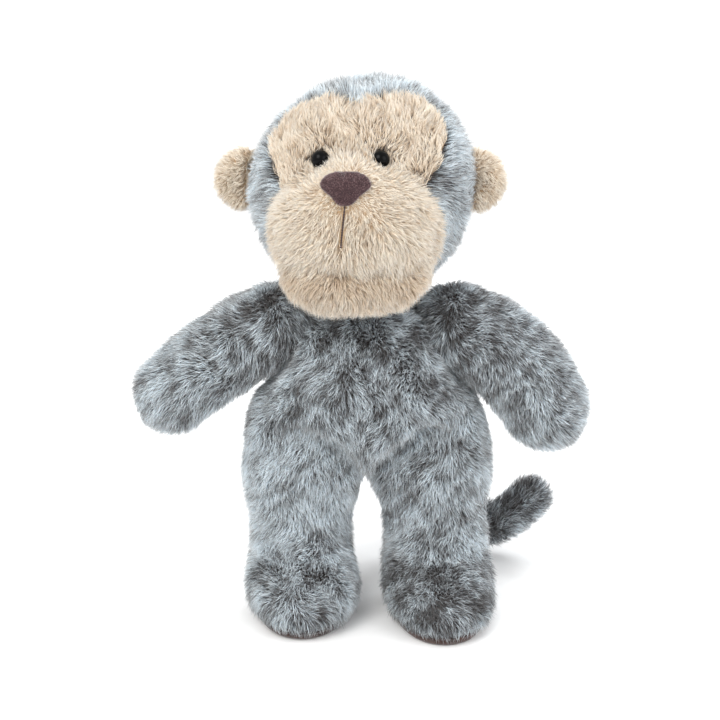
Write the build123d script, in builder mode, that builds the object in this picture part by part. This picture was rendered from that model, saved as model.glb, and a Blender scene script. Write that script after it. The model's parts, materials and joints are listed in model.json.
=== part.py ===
from build123d import *
import os
from itertools import product
from math import cos, radians, sin, tan

# Stuffed monkey, standing upright. Millimetres, +Z up, the face looks towards -Y, and the toy's own
# left side is +X. The origin is on the floor, under the middle of the toy's bounding box.

os.makedirs("parts", exist_ok=True)

# ---- driving dimensions ---------------------------------------------------------------------------
MID_X = 2.0  # the toy's mid plane: its right arm reaches a little further out than its left one
COVER = 7.0  # backing cloth and pile together
SEAM = 0.1  # between two sewn pieces of one body
RUNNING = 0.4  # between two bodies that turn on each other
GATHER = 0.6  # thickness of a gathered joint lining
LINING_ANGLE = 38.0  # degrees from the middle of a joint lining to its edge

HEAD_R = 63.5
HEAD_CENTRE = Vector(MID_X - 4.4, 1.0, 249.2)
HEAD_TURN = -4.5  # degrees: the face looks slightly to the toy's right
NECK_PIVOT = Vector(MID_X, 4.0, 202.0)
NECK_R = 27.0
NECK_RIM_Z = 181.0

EAR_R = 19.5
EAR_THICK = 8.0  # half thickness
EAR_DISH = 3.0  # the middle of the front is dished in by this
EAR_RIM_R = 12.0
EAR_RIM_DROP = 1.1
EAR_OUT = 66.0
EAR_UP = 4.5
EAR_BACK = 6.0

EYE_R = 5.0
EYE_OUT = 17.0
EYE_UP = 20.5
EYE_SINK = 5.0  # back of the flange, below the surface of the pile
EYE_RIM = -4.0  # where the dome starts on the flange
SHANK_R = 1.5
SHANK_DEPTH = 14.0
WASHER_R = 6.0
WASHER_THICK = 1.2
WASHER_GAP = 0.6  # the cover curves in behind the flat washer

NOSE_PROUD = 4.0
MOUTH_DROP = 40.0  # mouth seam below the middle of the head
MOUTH_SEAM = 1.0
THREAD = 1.2
PHILTRUM_LENGTH = 22.0
PHILTRUM_ASIDE = -1.2
PHILTRUM_TOP = -3.5
PHILTRUM_LEAN = -6.0
FACE_NEAR = 40.0  # depths in front of the head's middle that hold all of the nose
FACE_FAR = 110.0
MUZZLE_COVER = 6.5  # thinner than elsewhere, because the top of the muzzle is narrow
MUZZLE_CORE_TOP = 16.0  # of the stuffing, above the middle of the head
CHIN_CORE_BOTTOM = -60.0
CHIN_CORE_DROP = 5.0  # of the stuffing, below the chin's top
MOUTH_THREAD = (42.0, 40.5, 37.5)  # half width, half depth, and centre ahead of the head's middle

STITCH_LENGTH = 7.0  # of the ladder stitches up the centre back
STITCH_PITCH = 6.0
STITCH_COUNT = 7
STITCH_MIDDLE_Z = 140.0

SHOULDER_OUT = 51.0
SHOULDER_BACK = -2.0
SHOULDER_Z = 172.0
SHOULDER_R = 23.5
ARM_LENGTH = 74.0  # shoulder centre to paw centre, along the arm
ARM_MIDDLE_R = 25.0
ARM_FORWARD = 12.0  # degrees that the arm points ahead of sideways
ARM_DROOP = {1: (18.0, 44.0), -1: (22.0, 20.0)}  # degrees below level at the shoulder, and the bend
ARM_LOWER = {1: 4.0, -1: 8.0}
ARM_AHEAD = 25.0
ARM_BEHIND = 20.0
ARM_ROOM = 1.0  # beyond the arm's surface, where it swings past the torso
TUBE_UNDER = 0.2  # a limb's tube is drawn in this much under its ball ends
ARM_STEPS = 6  # sections along the arm's arc

HIP_OUT = 39.5
HIP_Z = 88.0
HIP_R = 36.0
HIP_AHEAD = 75.0
HIP_BEHIND = 10.0
HIP_PART_AHEAD = 60.0  # the torso is cleared at this swing as well
THIGH_ROOM = 1.6  # beyond the hip's socket, where the thigh swings past the torso
SWING_ROOM = 108.0  # length of the room cut out for a thigh
SOLE_THICK = 5.0
ANKLE_Z = 40.0
TOES_BEGIN = 0.4  # share of the way down the leg where the toes begin to lean aside
FOOT_FLOOR = 3.0  # cover under the stuffing of a foot

TAIL_R = 15.5
TAIL_ASIDE = 40.0
TAIL_LIFTED = 35.0
TAIL_ROOM = 46.5  # length of the room cut out for the first run of the tail
BEND_SHARE = 0.45  # share of a run that a bend of the tail takes up
TAIL_ROUTE = [(2, 38, 100), (6, 64, 84), (24, 75, 48), (56, 76, 19.5), (90, 75, 20), (111.5, 73, 40)]

# Ellipses stacked up a form: height, half width, half depth, centre X and centre Y.
TORSO = [
    (84, 44, 26, MID_X, 0),
    (88, 61, 37.5, MID_X, 0),
    (97, 73, 44, MID_X, 0),
    (112, 73, 48, MID_X, 0),
    (127, 67, 48, MID_X, 0),
    (140, 60, 45.5, MID_X, 0),
    (153, 52, 42.5, MID_X, 1),
    (165, 49, 38, MID_X, 2),
    (173, 44, 33.5, MID_X, 3),
    (178, 36, 28, MID_X, 3.5),
    (NECK_RIM_Z, 26, 22, MID_X, 4),
]
# Ellipses up a leg: height, half width, half depth and centre Y. Their centre X comes from leg_levels.
LEG = [
    (SOLE_THICK + SEAM, 31, 48.5, -20.5),
    (14, 33.5, 51.3, -20.5),
    (23, 33.2, 48.6, -17.6),
    (32, 32, 42.3, -11.5),
    (41, 31.1, 36, -5.4),
    (50, 31.2, 32.6, -1.7),
    (59, 32.2, 32.7, -0.3),
    (68, 33.2, 33.5, 0),
    (78, 34.6, 34.8, 0),
    (HIP_Z, 35.7, 35.9, 0),
]
LEG_OUT = {1: 41.0, -1: 40.0}  # middle of the shin, from the mid plane
TOE_SHIFT = {1: 1.5, -1: 3.5}  # both feet lean a little towards +X
SOLE = [(0, 27, 43.5, -20), (2.5, 30, 47, -20.3), (SOLE_THICK, 31, 48.4, -20.5)]
# Heights here are from the middle of the head, and depths from its plane through both ears.
MUZZLE = [
    (-40, 43, 42, 0, -37),
    (-30, 46.5, 46, 0, -38),
    (-18, 47.5, 48, 0, -39),
    (-6, 44.5, 48, 0, -39),
    (5, 37, 45, 0, -40),
    (13, 28, 40, 0, -40),
    (19, 17, 32, 0, -41),
    (23, 7, 24, 0, -42),
]
CHIN = [
    (-65.4, 24, 12, 0, -51),
    (-59.5, 36, 20, 0, -51),
    (-51, 42, 30, 0, -47),
    (-MOUTH_DROP - MOUTH_SEAM, 43, 41, 0, -38),
]

# ---- planes and points ----------------------------------------------------------------------------
turn = radians(HEAD_TURN)
head_x = Vector(cos(turn), sin(turn), 0)
head_front = Vector(sin(turn), -cos(turn), 0)
head_plane = Plane(origin=HEAD_CENTRE, x_dir=head_x, z_dir=(0, 0, 1))
face_plane = Plane(origin=HEAD_CENTRE, x_dir=head_x, z_dir=head_front)
head_middle = Plane(origin=HEAD_CENTRE, x_dir=head_front, z_dir=head_x)
hips = {side: Vector(MID_X + side * HIP_OUT, 0, HIP_Z) for side in (1, -1)}
shoulders = {side: Vector(MID_X + side * SHOULDER_OUT, SHOULDER_BACK, SHOULDER_Z) for side in (1, -1)}
sides = {"left": 1, "right": -1}


def save(piece, name):
    piece.part.label = name
    export_step(piece.part, f"parts/{name}.step")


def ball(centre, radius):
    with BuildPart(Plane(origin=centre)) as form:
        Sphere(radius)
    return form.part


def rod(centre, direction, length, radius):
    with BuildPart() as form:
        with BuildSketch(Plane(origin=centre, z_dir=direction)):
            Circle(radius)
        extrude(amount=length)
    return form.part


def stacked(levels, inset=0.0, base=Plane.XY):
    """A smooth closed form through ellipses, each drawn in from its outline by inset."""
    with BuildPart() as form:
        for height, half_width, half_depth, x, y in levels:
            with BuildSketch(base.offset(height)):
                with BuildLine():
                    EllipticalCenterArc((x, y), half_width - inset, half_depth - inset, arc_size=360)
                make_face()
        loft()
    return form.part


def between(form, low, high, base=Plane.XY):
    """The part of a form between two heights."""
    with BuildPart() as slice_:
        add(form)
        split(bisect_by=base.offset(low), keep=Keep.TOP)
        split(bisect_by=base.offset(high), keep=Keep.BOTTOM)
    return slice_.part


def cut(form, *tools):
    with BuildPart() as result:
        add(form)
        for tool in tools:
            add(tool, mode=Mode.SUBTRACT)
    return result.part


def join(*forms):
    with BuildPart() as result:
        for form in forms:
            add(form)
    return result.part


def common(form, tool):
    with BuildPart() as result:
        add(form)
        add(tool, mode=Mode.INTERSECT)
    return result.part


def joint_lining(centre, radius, towards, across, half_angle):
    """A thin dished cap of gathered cloth around a ball, on the side that faces the torso."""
    with BuildPart() as lining:
        with BuildSketch(Plane(origin=centre, x_dir=across, z_dir=across.cross(towards))):
            with BuildLine():
                inner = CenterArc((0, 0), radius, 90 - half_angle, half_angle)
                outer = CenterArc((0, 0), radius + GATHER, 90 - half_angle, half_angle)
                Line(inner @ 0, outer @ 0)
                Line(inner @ 1, outer @ 1)
            make_face()
        revolve(axis=Axis(centre, towards))
    return lining


# ---- forms shared by several pieces ---------------------------------------------------------------
def head_form(inset):
    return join(ball(HEAD_CENTRE, HEAD_R - inset), ball(NECK_PIVOT, NECK_R - inset))


def arm_outward(side):
    """The level direction of an arm, which points a little ahead of sideways."""
    yaw = radians(ARM_FORWARD)
    return Vector(side * cos(yaw), -sin(yaw), 0)


def arm_form(side, inset):
    """A ball, a tube that bends down in an arc, and a round paw."""
    start, bend = (radians(angle) for angle in ARM_DROOP[side])
    out = arm_outward(side)
    up = Vector(0, 0, 1)
    bend_radius = ARM_LENGTH / bend
    with BuildPart() as form:
        for step in range(ARM_STEPS + 1):
            share = step / ARM_STEPS
            angle = start + bend * share
            reach = bend_radius * (sin(angle) - sin(start))
            drop = bend_radius * (cos(start) - cos(angle))
            centre = shoulders[side] + out * reach - up * drop
            tangent = out * cos(angle) - up * sin(angle)
            swell = (ARM_MIDDLE_R - SHOULDER_R) * sin(radians(180 * share))
            with BuildSketch(Plane(origin=centre, x_dir=out.cross(up), z_dir=tangent)):
                Circle(SHOULDER_R - TUBE_UNDER + swell - inset)
        loft()
        add(ball(shoulders[side], SHOULDER_R - inset))
        add(ball(centre, SHOULDER_R - TUBE_UNDER - inset))
    return form.part


def leg_levels(side, levels):
    """Levels placed on one leg; it stands apart below the hip, and the toes lean sideways."""
    placed = []
    for height, half_width, half_depth, y in levels:
        lowness = min(1.0, (HIP_Z - height) / HIP_Z)
        out = HIP_OUT + (LEG_OUT[side] - HIP_OUT) * min(1.0, 2 * lowness)
        lean = TOE_SHIFT[side] * max(0.0, lowness - TOES_BEGIN) / (1 - TOES_BEGIN)
        placed.append((height, half_width, half_depth, MID_X + side * out + lean, y))
    return placed


def leg_form(side, inset):
    return join(stacked(leg_levels(side, LEG), inset), ball(hips[side], HIP_R - inset))


def bend_radii(points):
    """For each corner of a route, the bend's share of its shorter run over the tangent of half its turn."""
    radii = []
    for before, corner, after in zip(points, points[1:], points[2:]):
        run_in = Vector(corner) - Vector(before)
        run_out = Vector(after) - Vector(corner)
        half_turn = radians(run_in.get_angle(run_out)) / 2
        radii.append(BEND_SHARE * min(run_in.length, run_out.length) / tan(half_turn))
    return radii


def tail_form(inset):
    first_run = Vector(TAIL_ROUTE[1]) - Vector(TAIL_ROUTE[0])
    with BuildPart() as form:
        with BuildLine():
            FilletPolyline(*TAIL_ROUTE, radius=bend_radii(TAIL_ROUTE))
        with BuildSketch(Plane(origin=TAIL_ROUTE[0], z_dir=first_run)):
            Circle(TAIL_R - TUBE_UNDER - inset)
        sweep()
        add(ball(Vector(TAIL_ROUTE[0]), TAIL_R - inset))
        add(ball(Vector(TAIL_ROUTE[-1]), TAIL_R - TUBE_UNDER - inset))
    return form.part


# ---- head -----------------------------------------------------------------------------------------
def face_column(depth_from, depth_to, outline):
    """A straight column towards the face's front, over an outline drawn on the face plane."""
    with BuildPart() as column:
        with BuildSketch(face_plane.offset(depth_from)):
            add(outline)
        extrude(amount=depth_to - depth_from)
    return column.part


with BuildSketch() as brow_outline:
    with BuildLine():
        Spline((0, 47), (21, 53.5), (42, 43), (49.5, 28), (45, 12), (36, 0))
        Line((36, 0), (0, 0))
        mirror(about=Plane.YZ)
    make_face()

with BuildSketch() as nose_outline:
    with BuildLine():
        Spline((0, 14.2), (8, 13.4), (13.2, 7.6), (8.5, 1.6), (0, -2.2), tangents=[(1, 0), (-1, 0)])
        mirror(about=Plane.YZ)
    make_face()

with BuildSketch() as philtrum_outline:
    with Locations((PHILTRUM_ASIDE, PHILTRUM_TOP - PHILTRUM_LENGTH / 2)):
        Rectangle(THREAD, PHILTRUM_LENGTH, rotation=PHILTRUM_LEAN)


def eye_place(side):
    """The plane of one eye, on the surface of the head and facing straight out of it."""
    depth = (HEAD_R**2 - EYE_OUT**2 - EYE_UP**2) ** 0.5
    outward = head_x * (side * EYE_OUT) + head_front * depth + Vector(0, 0, EYE_UP)
    return Plane(origin=HEAD_CENTRE + outward, z_dir=outward)


def eye_pocket(side):
    place = eye_place(side)
    inward = place.z_dir * -1
    dish = rod(place.origin + inward * (EYE_SINK + SEAM), place.z_dir, 3 * EYE_SINK, EYE_R + SEAM)
    hole = rod(place.origin, inward, SHANK_DEPTH + 1, SHANK_R + SEAM)
    washer_room = rod(place.origin + inward * COVER, inward, SHANK_DEPTH + 1 - COVER, WASHER_R + SEAM)
    return dish, hole, washer_room


head_ball = ball(HEAD_CENTRE, HEAD_R + SEAM)
pockets = [tool for side in (1, -1) for tool in eye_pocket(side)[:2]]
washer_rooms = [eye_pocket(side)[2] for side in (1, -1)]
head_cover = cut(head_form(0), head_form(COVER), *pockets)
brow_column = face_column(0, HEAD_R + COVER, brow_outline.sketch)

for name, keep in (("left", Keep.TOP), ("right", Keep.BOTTOM)):
    with BuildPart() as head_panel:
        add(head_cover)
        add(brow_column, mode=Mode.SUBTRACT)
        split(bisect_by=head_middle, keep=keep)
    save(head_panel, f"head_{name}_panel")

with BuildPart() as brow_patch:
    add(head_cover)
    add(brow_column, mode=Mode.INTERSECT)
save(brow_patch, "brow_patch")

with BuildPart() as head_stuffing:
    add(head_form(COVER + SEAM))
    for room in washer_rooms:
        add(room, mode=Mode.SUBTRACT)
save(head_stuffing, "head_stuffing")

for name, side in sides.items():
    with BuildPart() as eye:
        place = eye_place(side)
        with BuildSketch(Plane(origin=place.origin, x_dir=place.x_dir, z_dir=place.y_dir * -1)):
            with BuildLine():
                Polyline((0, EYE_RIM + EYE_R), (0, -SHANK_DEPTH), (SHANK_R, -SHANK_DEPTH),
                         (SHANK_R, -EYE_SINK), (EYE_R, -EYE_SINK), (EYE_R, EYE_RIM))
                CenterArc((0, EYE_RIM), EYE_R, 0, 90)
            make_face()
        revolve(axis=Axis(place.origin, place.z_dir))
    save(eye, f"{name}_eye")

    with BuildPart() as eye_washer:
        with BuildSketch(eye_place(side).offset(-COVER - WASHER_GAP)):
            Circle(WASHER_R)
            Circle(SHANK_R + SEAM, mode=Mode.SUBTRACT)
        extrude(amount=-WASHER_THICK)
    save(eye_washer, f"{name}_eye_washer")

# ---- muzzle and chin ------------------------------------------------------------------------------
muzzle_form = stacked(MUZZLE, 0, head_plane)
muzzle_core = between(
    stacked(MUZZLE, MUZZLE_COVER, head_plane), COVER - MOUTH_DROP, MUZZLE_CORE_TOP, head_plane
)
muzzle_core_fill = between(
    stacked(MUZZLE, MUZZLE_COVER + SEAM, head_plane),
    COVER - MOUTH_DROP + SEAM,
    MUZZLE_CORE_TOP - SEAM,
    head_plane,
)
chin_top = -MOUTH_DROP - MOUTH_SEAM
chin_core_top = chin_top - CHIN_CORE_DROP
chin_core = between(stacked(CHIN, COVER, head_plane), CHIN_CORE_BOTTOM, chin_core_top, head_plane)
chin_core_fill = between(
    stacked(CHIN, COVER + SEAM, head_plane), CHIN_CORE_BOTTOM + SEAM, chin_core_top - SEAM, head_plane
)

with BuildPart() as muzzle_cover:
    add(cut(muzzle_form, muzzle_core, head_ball, *pockets))
save(muzzle_cover, "muzzle_cover")

with BuildPart() as muzzle_stuffing:
    add(cut(muzzle_core_fill, head_ball))
save(muzzle_stuffing, "muzzle_stuffing")

with BuildPart() as chin_cover:
    add(cut(stacked(CHIN, 0, head_plane), chin_core, head_ball))
save(chin_cover, "chin_cover")

with BuildPart() as chin_stuffing:
    add(cut(chin_core_fill, head_ball))
save(chin_stuffing, "chin_stuffing")

with BuildPart() as nose:
    add(stacked(MUZZLE, -NOSE_PROUD, head_plane))
    add(face_column(FACE_NEAR, FACE_FAR, nose_outline.sketch), mode=Mode.INTERSECT)
    add(stacked(MUZZLE, -SEAM, head_plane), mode=Mode.SUBTRACT)
save(nose, "nose")

with BuildPart() as philtrum_stitch:
    add(stacked(MUZZLE, -THREAD, head_plane))
    add(face_column(FACE_NEAR, FACE_FAR, philtrum_outline.sketch), mode=Mode.INTERSECT)
    add(stacked(MUZZLE, -SEAM, head_plane), mode=Mode.SUBTRACT)
save(philtrum_stitch, "philtrum_stitch")

thread_x, thread_y, thread_ahead = MOUTH_THREAD
with BuildPart() as mouth_seam_thread:
    with BuildSketch(head_plane.offset(chin_top + SEAM)):
        with Locations((0, -thread_ahead)):
            Ellipse(thread_x, thread_y)
            Ellipse(thread_x - THREAD, thread_y - THREAD, mode=Mode.SUBTRACT)
    extrude(amount=MOUTH_SEAM - 2 * SEAM)
    add(head_ball, mode=Mode.SUBTRACT)
save(mouth_seam_thread, "mouth_seam_thread")

# ---- ears -----------------------------------------------------------------------------------------
for name, side in sides.items():
    centre = HEAD_CENTRE + head_x * (side * EAR_OUT) - head_front * EAR_BACK + Vector(0, 0, EAR_UP)
    ear_plane = Plane(origin=centre, x_dir=head_x, z_dir=head_front)
    # a round pillow whose front is dished, so that the rim stands forward
    with BuildPart() as ear_form:
        with BuildSketch(Plane(origin=centre, x_dir=head_x, z_dir=(0, 0, 1))):
            with BuildLine():
                Spline((0, EAR_DISH - EAR_THICK), (EAR_RIM_R, EAR_RIM_DROP - EAR_THICK), (EAR_R, 0),
                       (EAR_RIM_R, EAR_THICK - EAR_RIM_DROP), (0, EAR_THICK),
                       tangents=[(1, 0), (-1, 0)])
                Line((0, EAR_THICK), (0, EAR_DISH - EAR_THICK))
            make_face()
        revolve(axis=Axis(centre, head_front))
    for half, keep in (("front", Keep.TOP), ("back", Keep.BOTTOM)):
        with BuildPart() as ear_piece:
            add(cut(ear_form.part, head_ball))
            split(bisect_by=ear_plane, keep=keep)
        save(ear_piece, f"{name}_ear_{half}")

# ---- torso ----------------------------------------------------------------------------------------
lining_stack = 2 * RUNNING + GATHER
shoulder_socket = SHOULDER_R + lining_stack
neck_socket = NECK_R + lining_stack + RUNNING + GATHER
hip_socket = HIP_R + RUNNING
tail_socket = TAIL_R + lining_stack


def arm_sweep(side):
    """The room that an arm needs at its lowest, as it swings from behind to ahead."""
    grown = arm_form(side, -ARM_ROOM)
    upright = Axis(shoulders[side], (0, 0, -side))
    level = Axis(shoulders[side], (0, -side, 0))
    rooms = []
    for swing in (-ARM_BEHIND, -ARM_BEHIND / 2, 0, ARM_AHEAD / 3, ARM_AHEAD * 2 / 3, ARM_AHEAD):
        rooms.append(grown.rotate(upright, swing).rotate(level, -ARM_LOWER[side]))
    rooms.append(grown)
    return rooms


sockets = [ball(NECK_PIVOT, neck_socket), ball(Vector(TAIL_ROUTE[0]), tail_socket)]
for side in (1, -1):
    sockets.append(ball(hips[side], hip_socket))
    for swing in (HIP_AHEAD, HIP_PART_AHEAD, -HIP_BEHIND):
        thigh = Vector(0, -sin(radians(swing)), -cos(radians(swing)))
        sockets.append(rod(hips[side], thigh, SWING_ROOM, hip_socket + THIGH_ROOM))
    sockets.append(ball(shoulders[side], shoulder_socket))
    sockets.extend(arm_sweep(side))
tail_root = Vector(TAIL_ROUTE[0])
tail_first_run = (Vector(TAIL_ROUTE[1]) - tail_root).normalized()
for aside, lifted in product((0, TAIL_ASIDE / 2, TAIL_ASIDE), (0, TAIL_LIFTED / 2, TAIL_LIFTED)):
    run = tail_first_run.rotate(Axis((0, 0, 0), (0, -1, 0)), lifted)
    run = run.rotate(Axis((0, 0, 0), (0, 0, 1)), aside)
    sockets.append(rod(tail_root, run, TAIL_ROOM, tail_socket))

torso_form = cut(stacked(TORSO), *sockets)
torso_core = between(stacked(TORSO, COVER), TORSO[0][0] + COVER, NECK_RIM_Z - COVER)
torso_core_fill = between(
    stacked(TORSO, COVER + SEAM), TORSO[0][0] + COVER + SEAM, NECK_RIM_Z - COVER - SEAM
)
torso_cover = cut(torso_form, torso_core)
torso_middle = Plane(origin=(MID_X, 0, 0), z_dir=(1, 0, 0))

for half, keep_depth in (("front", Keep.TOP), ("back", Keep.BOTTOM)):
    for name, keep_side in (("left", Keep.TOP), ("right", Keep.BOTTOM)):
        with BuildPart() as torso_panel:
            add(torso_cover)
            split(bisect_by=Plane(origin=(0, 0, 0), z_dir=(0, -1, 0)), keep=keep_depth)
            split(bisect_by=torso_middle, keep=keep_side)
        save(torso_panel, f"torso_{half}_{name}_panel")

with BuildPart() as torso_stuffing:
    add(common(torso_form, torso_core_fill))
save(torso_stuffing, "torso_stuffing")

# ladder stitches that close the centre back seam after stuffing
with BuildPart() as stitch_columns:
    with BuildSketch(Plane(origin=(MID_X, 0, STITCH_MIDDLE_Z), x_dir=(-1, 0, 0), z_dir=(0, 1, 0))):
        with GridLocations(STITCH_LENGTH, STITCH_PITCH, 1, STITCH_COUNT):
            Rectangle(STITCH_LENGTH, THREAD)
    extrude(amount=80)
with BuildPart() as back_closing_stitches:
    add(stacked(TORSO, -THREAD))
    add(stitch_columns.part, mode=Mode.INTERSECT)
    add(stacked(TORSO, -SEAM), mode=Mode.SUBTRACT)
save(back_closing_stitches, "back_closing_stitches")

# ---- linings in the joints ------------------------------------------------------------------------
down = Vector(0, 0, -1)
ahead = Vector(0, -1, 0)
neck_head_lining = joint_lining(NECK_PIVOT, NECK_R + RUNNING, down, ahead, LINING_ANGLE)
save(neck_head_lining, "neck_head_lining")
neck_torso_lining = joint_lining(NECK_PIVOT, NECK_R + 2 * RUNNING + GATHER, down, ahead, LINING_ANGLE)
save(neck_torso_lining, "neck_torso_lining")

for name, side in sides.items():
    inward = (Vector(MID_X, SHOULDER_BACK, 150) - shoulders[side]).normalized()
    shoulder_lining = joint_lining(
        shoulders[side], SHOULDER_R + RUNNING, inward, ahead, LINING_ANGLE
    )
    save(shoulder_lining, f"{name}_shoulder_lining")

tail_lining = joint_lining(
    tail_root,
    TAIL_R + RUNNING,
    tail_first_run * -1,
    tail_first_run.cross(down).normalized(),
    LINING_ANGLE,
)
save(tail_lining, "tail_lining")

# ---- arms -----------------------------------------------------------------------------------------
for name, side in sides.items():
    arm_cover = cut(arm_form(side, 0), arm_form(side, COVER))
    arm_back = Vector(0, 0, side).cross(arm_outward(side))
    for half, keep in (("back", Keep.TOP), ("front", Keep.BOTTOM)):
        with BuildPart() as arm_panel:
            add(arm_cover)
            split(bisect_by=Plane(origin=shoulders[side], z_dir=arm_back), keep=keep)
        save(arm_panel, f"{name}_arm_{half}_panel")

    with BuildPart() as arm_stuffing:
        add(arm_form(side, COVER + SEAM))
    save(arm_stuffing, f"{name}_arm_stuffing")

# ---- legs and feet --------------------------------------------------------------------------------
foot_floor = SOLE_THICK + FOOT_FLOOR
for name, side in sides.items():
    leg_core = join(
        between(stacked(leg_levels(side, LEG), COVER), foot_floor, HIP_Z),
        ball(hips[side], HIP_R - COVER),
    )
    leg_core_fill = join(
        between(stacked(leg_levels(side, LEG), COVER + SEAM), foot_floor + SEAM, HIP_Z),
        ball(hips[side], HIP_R - COVER - SEAM),
    )
    leg_cover = cut(leg_form(side, 0), leg_core)
    for half, keep in (("front", Keep.TOP), ("back", Keep.BOTTOM)):
        with BuildPart() as leg_panel:
            add(leg_cover)
            split(bisect_by=Plane.XY.offset(ANKLE_Z), keep=Keep.TOP)
            split(bisect_by=Plane(origin=(0, 0, 0), z_dir=(0, -1, 0)), keep=keep)
        save(leg_panel, f"{name}_leg_{half}_panel")

    with BuildPart() as foot_cover:
        add(leg_cover)
        split(bisect_by=Plane.XY.offset(ANKLE_Z), keep=Keep.BOTTOM)
    save(foot_cover, f"{name}_foot_cover")

    with BuildPart() as foot_sole:
        add(stacked(leg_levels(side, SOLE)))
    save(foot_sole, f"{name}_foot_sole")

    with BuildPart() as leg_stuffing:
        add(leg_core_fill)
    save(leg_stuffing, f"{name}_leg_stuffing")

# ---- tail -----------------------------------------------------------------------------------------
with BuildPart() as tail_cover:
    add(tail_form(0))
    add(tail_form(COVER - 1), mode=Mode.SUBTRACT)
save(tail_cover, "tail_cover")

with BuildPart() as tail_stuffing:
    add(tail_form(COVER - 1 + SEAM))
save(tail_stuffing, "tail_stuffing")
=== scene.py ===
import json
import math

import bmesh
import bpy
import numpy as np
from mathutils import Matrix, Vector
from mathutils.bvhtree import BVHTree
from mathutils.kdtree import KDTree


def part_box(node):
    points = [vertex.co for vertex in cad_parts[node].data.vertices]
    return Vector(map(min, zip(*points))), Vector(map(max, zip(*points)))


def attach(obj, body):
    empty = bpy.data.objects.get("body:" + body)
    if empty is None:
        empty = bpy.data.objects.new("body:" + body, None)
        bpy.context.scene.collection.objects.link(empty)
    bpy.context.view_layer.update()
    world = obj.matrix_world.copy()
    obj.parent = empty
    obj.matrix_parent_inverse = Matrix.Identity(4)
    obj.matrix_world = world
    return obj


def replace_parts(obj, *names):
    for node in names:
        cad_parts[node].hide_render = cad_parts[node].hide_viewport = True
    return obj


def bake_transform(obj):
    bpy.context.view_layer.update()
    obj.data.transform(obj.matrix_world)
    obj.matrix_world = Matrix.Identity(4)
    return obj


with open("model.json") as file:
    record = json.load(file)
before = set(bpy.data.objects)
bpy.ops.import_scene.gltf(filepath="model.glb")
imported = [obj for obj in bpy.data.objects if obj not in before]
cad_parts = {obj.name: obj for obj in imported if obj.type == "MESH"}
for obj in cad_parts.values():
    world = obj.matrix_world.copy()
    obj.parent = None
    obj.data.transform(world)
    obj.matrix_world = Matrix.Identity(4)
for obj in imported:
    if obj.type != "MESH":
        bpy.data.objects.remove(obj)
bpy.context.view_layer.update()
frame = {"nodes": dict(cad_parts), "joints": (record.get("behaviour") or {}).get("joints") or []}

# A stuffed monkey of long-pile plush. Each stuffed part is one closed cloth skin, blown up a little
# between its seams, and carries the pile of each of its sewn panels as real hairs.
# Lengths are in metres.

NODES = frame["nodes"]
PIVOTS = {joint["name"]: Vector(joint["pos_m"]) for joint in frame["joints"]}
SIDES = {"left": 1, "right": -1}
SCENE = bpy.context.scene
MM = 0.001
TINY = 1e-5
UP = np.array([0.0, 0.0, 1.0])
ASIDE = np.array([1.0, 0.0, 0.0])

# ---- driving values ----
PILE_DEPTH = 5.0 * MM  # how far the cloth lies under the outer ends of the pile
SOCKET_GAP = 2.0 * MM  # a skin this near a joint's ball is the inside of its socket
THIN_WALL = 0.42  # of a thin wall's thickness, the most that its face is drawn in
CLOTH_VOXEL = 4.0 * MM
FINE_VOXEL = 3.0 * MM  # for the head and the tail
EAR_VOXEL = 2.0 * MM
NOSE_VOXEL = 0.8 * MM
WALL_REACH = 50.0 * MM  # the thickest wall that is looked for
FULL_REACH = 16.0 * MM  # past a joint's ball, where the skin is drawn in less
FULL_DEPTH = 2.5 * MM
MELT_REACH = 5  # rounds of smoothing that spread and melt the crease over the hips
MELT_ROUNDS = 14
FACE_ROUNDS = 36  # the same over the crease between head, muzzle and chin
CROWN_ASIDE = 4.5 * MM  # the top of the head leans this far to the toy's left
CROWN_HEIGHT = 45.0 * MM
CROWN_BEHIND = 25.0 * MM
CHIN_TAPER = 0.3  # share of its width that the chin loses towards its lowest point
CHIN_ROUND = 1.5  # how late it loses it
CHIN_BEHIND = 20.0 * MM  # in front of the neck, where the whole taper is reached
EYE_CLEAR = 4.6 * MM  # from an eye's middle to the nearest hair's root
EYE_LASH = 7.5 * MM  # nearer than this, the hairs lean in over the eye
BROW_REACH = 26.0 * MM  # over which the hair grows longer away from the eyes
MUZZLE_REACH = 40.0 * MM  # the same, away from the nose
NOSE_EDGE = 12.0 * MM  # from its middle
MOUTH_SINK = 8.0 * MM  # the mouth's seam, under the outer ends of the pile
MOUTH_PULL = 3.0  # times as deep as other seams
SOLE_INSET = 3.4 * MM
HEEL_BEHIND = 35.0 * MM  # the feet's hairs point away from here
HEEL_ABOVE = 20.0 * MM
FALL_ABOVE = 120.0 * MM  # and the legs' from this far above the hips
THIGHS_LOW = 55.0 * MM  # the thighs come nearer together from here up
THIGHS_HIGH = 84.0 * MM
THIGHS_REACH = 26.0 * MM  # from the middle to where they keep their place
THIGHS_PULL = 0.4
TOES_AHEAD = 8.0 * MM  # how much further ahead the left foot's toes reach
TOES_ASIDE = 1.5 * MM
TOES_TOP = 48.0 * MM  # the foot below this is stretched
TOES_FULL = 55.0 * MM  # in front of the hips, where the whole stretch is reached
NOSE_SINK = 1.8 * MM  # how far the nose is pressed into the muzzle
NOSE_ROOM = 10.0 * MM  # the cloth this near the nose is drawn in less
NOSE_TAPER = 0.42  # share of its width that the nose loses towards its lower tip
NOSE_SHOULDER = 0.55  # of its height, where that begins
SOLE_VOXEL = 1.6 * MM
FIBRE_INSET = 2.6 * MM  # the stuffing, under the CAD's
FIBRE_VOXEL = 5.0 * MM
FIBRE_LUMP = 0.7 * MM
FIBRE_LUMP_SIZE = 16.0 * MM
EAR_PARTING = 13.0 * MM  # from an ear's middle to where its hairs part, next to the head
PHILTRUM_REACH = 3.0 * MM  # how far the thread runs on up under the nose
PHILTRUM_SINK = 1.6 * MM
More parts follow.
